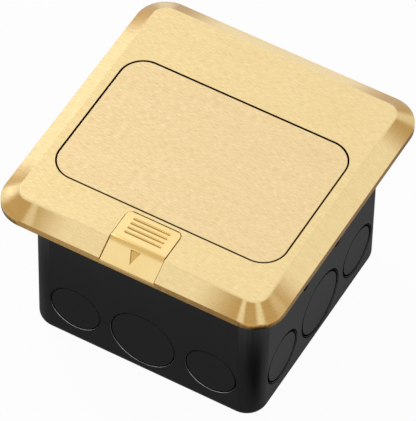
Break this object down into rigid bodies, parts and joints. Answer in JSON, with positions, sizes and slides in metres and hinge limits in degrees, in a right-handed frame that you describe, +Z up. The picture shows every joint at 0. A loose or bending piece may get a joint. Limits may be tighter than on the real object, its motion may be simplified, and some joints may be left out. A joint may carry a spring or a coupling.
{
  "type": "floor socket box",
  "caption": "Pop-up floor socket box: brass cover with flush sprung lid and thumb slide, tilting socket carriage, steel back box with knockouts.",
  "frame": {"origin": "centre of the back box's underside", "axes": "+Z up out of the floor, -Y towards the thumb slide, +X to the right seen from the thumb slide"},
  "size_m": [0.1212, 0.1252, 0.0823],
  "materials": {
    "black_steel": "semi-gloss black enamel on drawn steel",
    "brass_cover": "cast brass, fine brushed and lacquered",
    "brass_lid": "rolled brass plate, fine brushed and lacquered",
    "brass_slide": "cast brass, satin and lacquered",
    "rubber": "moulded black rubber",
    "zinc_steel": "bright zinc plate",
    "spring_steel": "drawn spring wire and turned pins",
    "black_nylon": "moulded black nylon",
    "white_acetal": "moulded acetal",
    "ivory_plastic": "moulded socket face",
    "grey_plastic": "moulded thermoset back",
    "contact_brass": "stamped contact brass",
    "nickel_screw": "nickel plate",
    "green_screw": "green dyed plating"
  },
  "bodies": {
    "frame": {"back_box": "black_steel", "knockouts_small": "black_steel", "knockouts_large": "black_steel", "cover_lugs": "black_steel", "box_ground_screw": "green_screw", "cover_gasket": "rubber", "cover_frame": "brass_cover", "cover_screws": "zinc_steel", "lid_seal": "rubber", "latch_keeper": "zinc_steel", "keeper_screws": "zinc_steel", "latch_springs": "spring_steel", "hinge_chassis": "black_nylon", "chassis_screws": "zinc_steel", "hinge_pins": "spring_steel", "hinge_clips": "spring_steel", "torsion_springs": "spring_steel", "damper_housing": "black_nylon", "damper_screws": "zinc_steel"},
    "carriage": {"lid_plate": "brass_lid", "lid_screws": "zinc_steel", "carriage": "black_nylon", "catch_plate": "zinc_steel", "stop_pads": "rubber", "face_plate": "black_nylon", "face_plate_screws": "zinc_steel", "receptacle_face": "ivory_plastic", "receptacle_strap": "zinc_steel", "strap_screws": "zinc_steel", "receptacle_body": "grey_plastic", "line_contact": "contact_brass", "neutral_contact": "contact_brass", "ground_contacts": "contact_brass", "line_screws": "contact_brass", "neutral_screws": "nickel_screw", "ground_terminal": "green_screw", "damper_quadrant": "white_acetal", "quadrant_screws": "zinc_steel"},
    "latch": {"thumb_slide": "brass_slide", "latch_bolt": "zinc_steel", "latch_screw": "zinc_steel"},
    "pinion": {"damper_pinion": "white_acetal"}
  },
  "joints": [
    {"name": "lid_hinge", "type": "hinge", "parent": "frame", "child": "carriage", "pos_m": [0, 0.0169, 0.0774], "axis": [-1, 0, 0], "range_deg": [0, 55], "deforming": ["torsion_springs"]},
    {"name": "slide_latch", "type": "slide", "parent": "frame", "child": "latch", "axis": [0, -1, 0], "range_m": [0, 0.004], "stiffness_N_per_m": 250, "springref_m": -0.002, "deforming": ["latch_springs"]},
    {"name": "damper_gear", "type": "hinge", "parent": "frame", "child": "pinion", "pos_m": [-0.04, 0.02477, 0.05793], "axis": [1, 0, 0], "range_deg": [0, 176]}
  ],
  "couplings": [
    {"joint": "damper_gear", "follows": "lid_hinge", "ratio": 3.2}
  ]
}
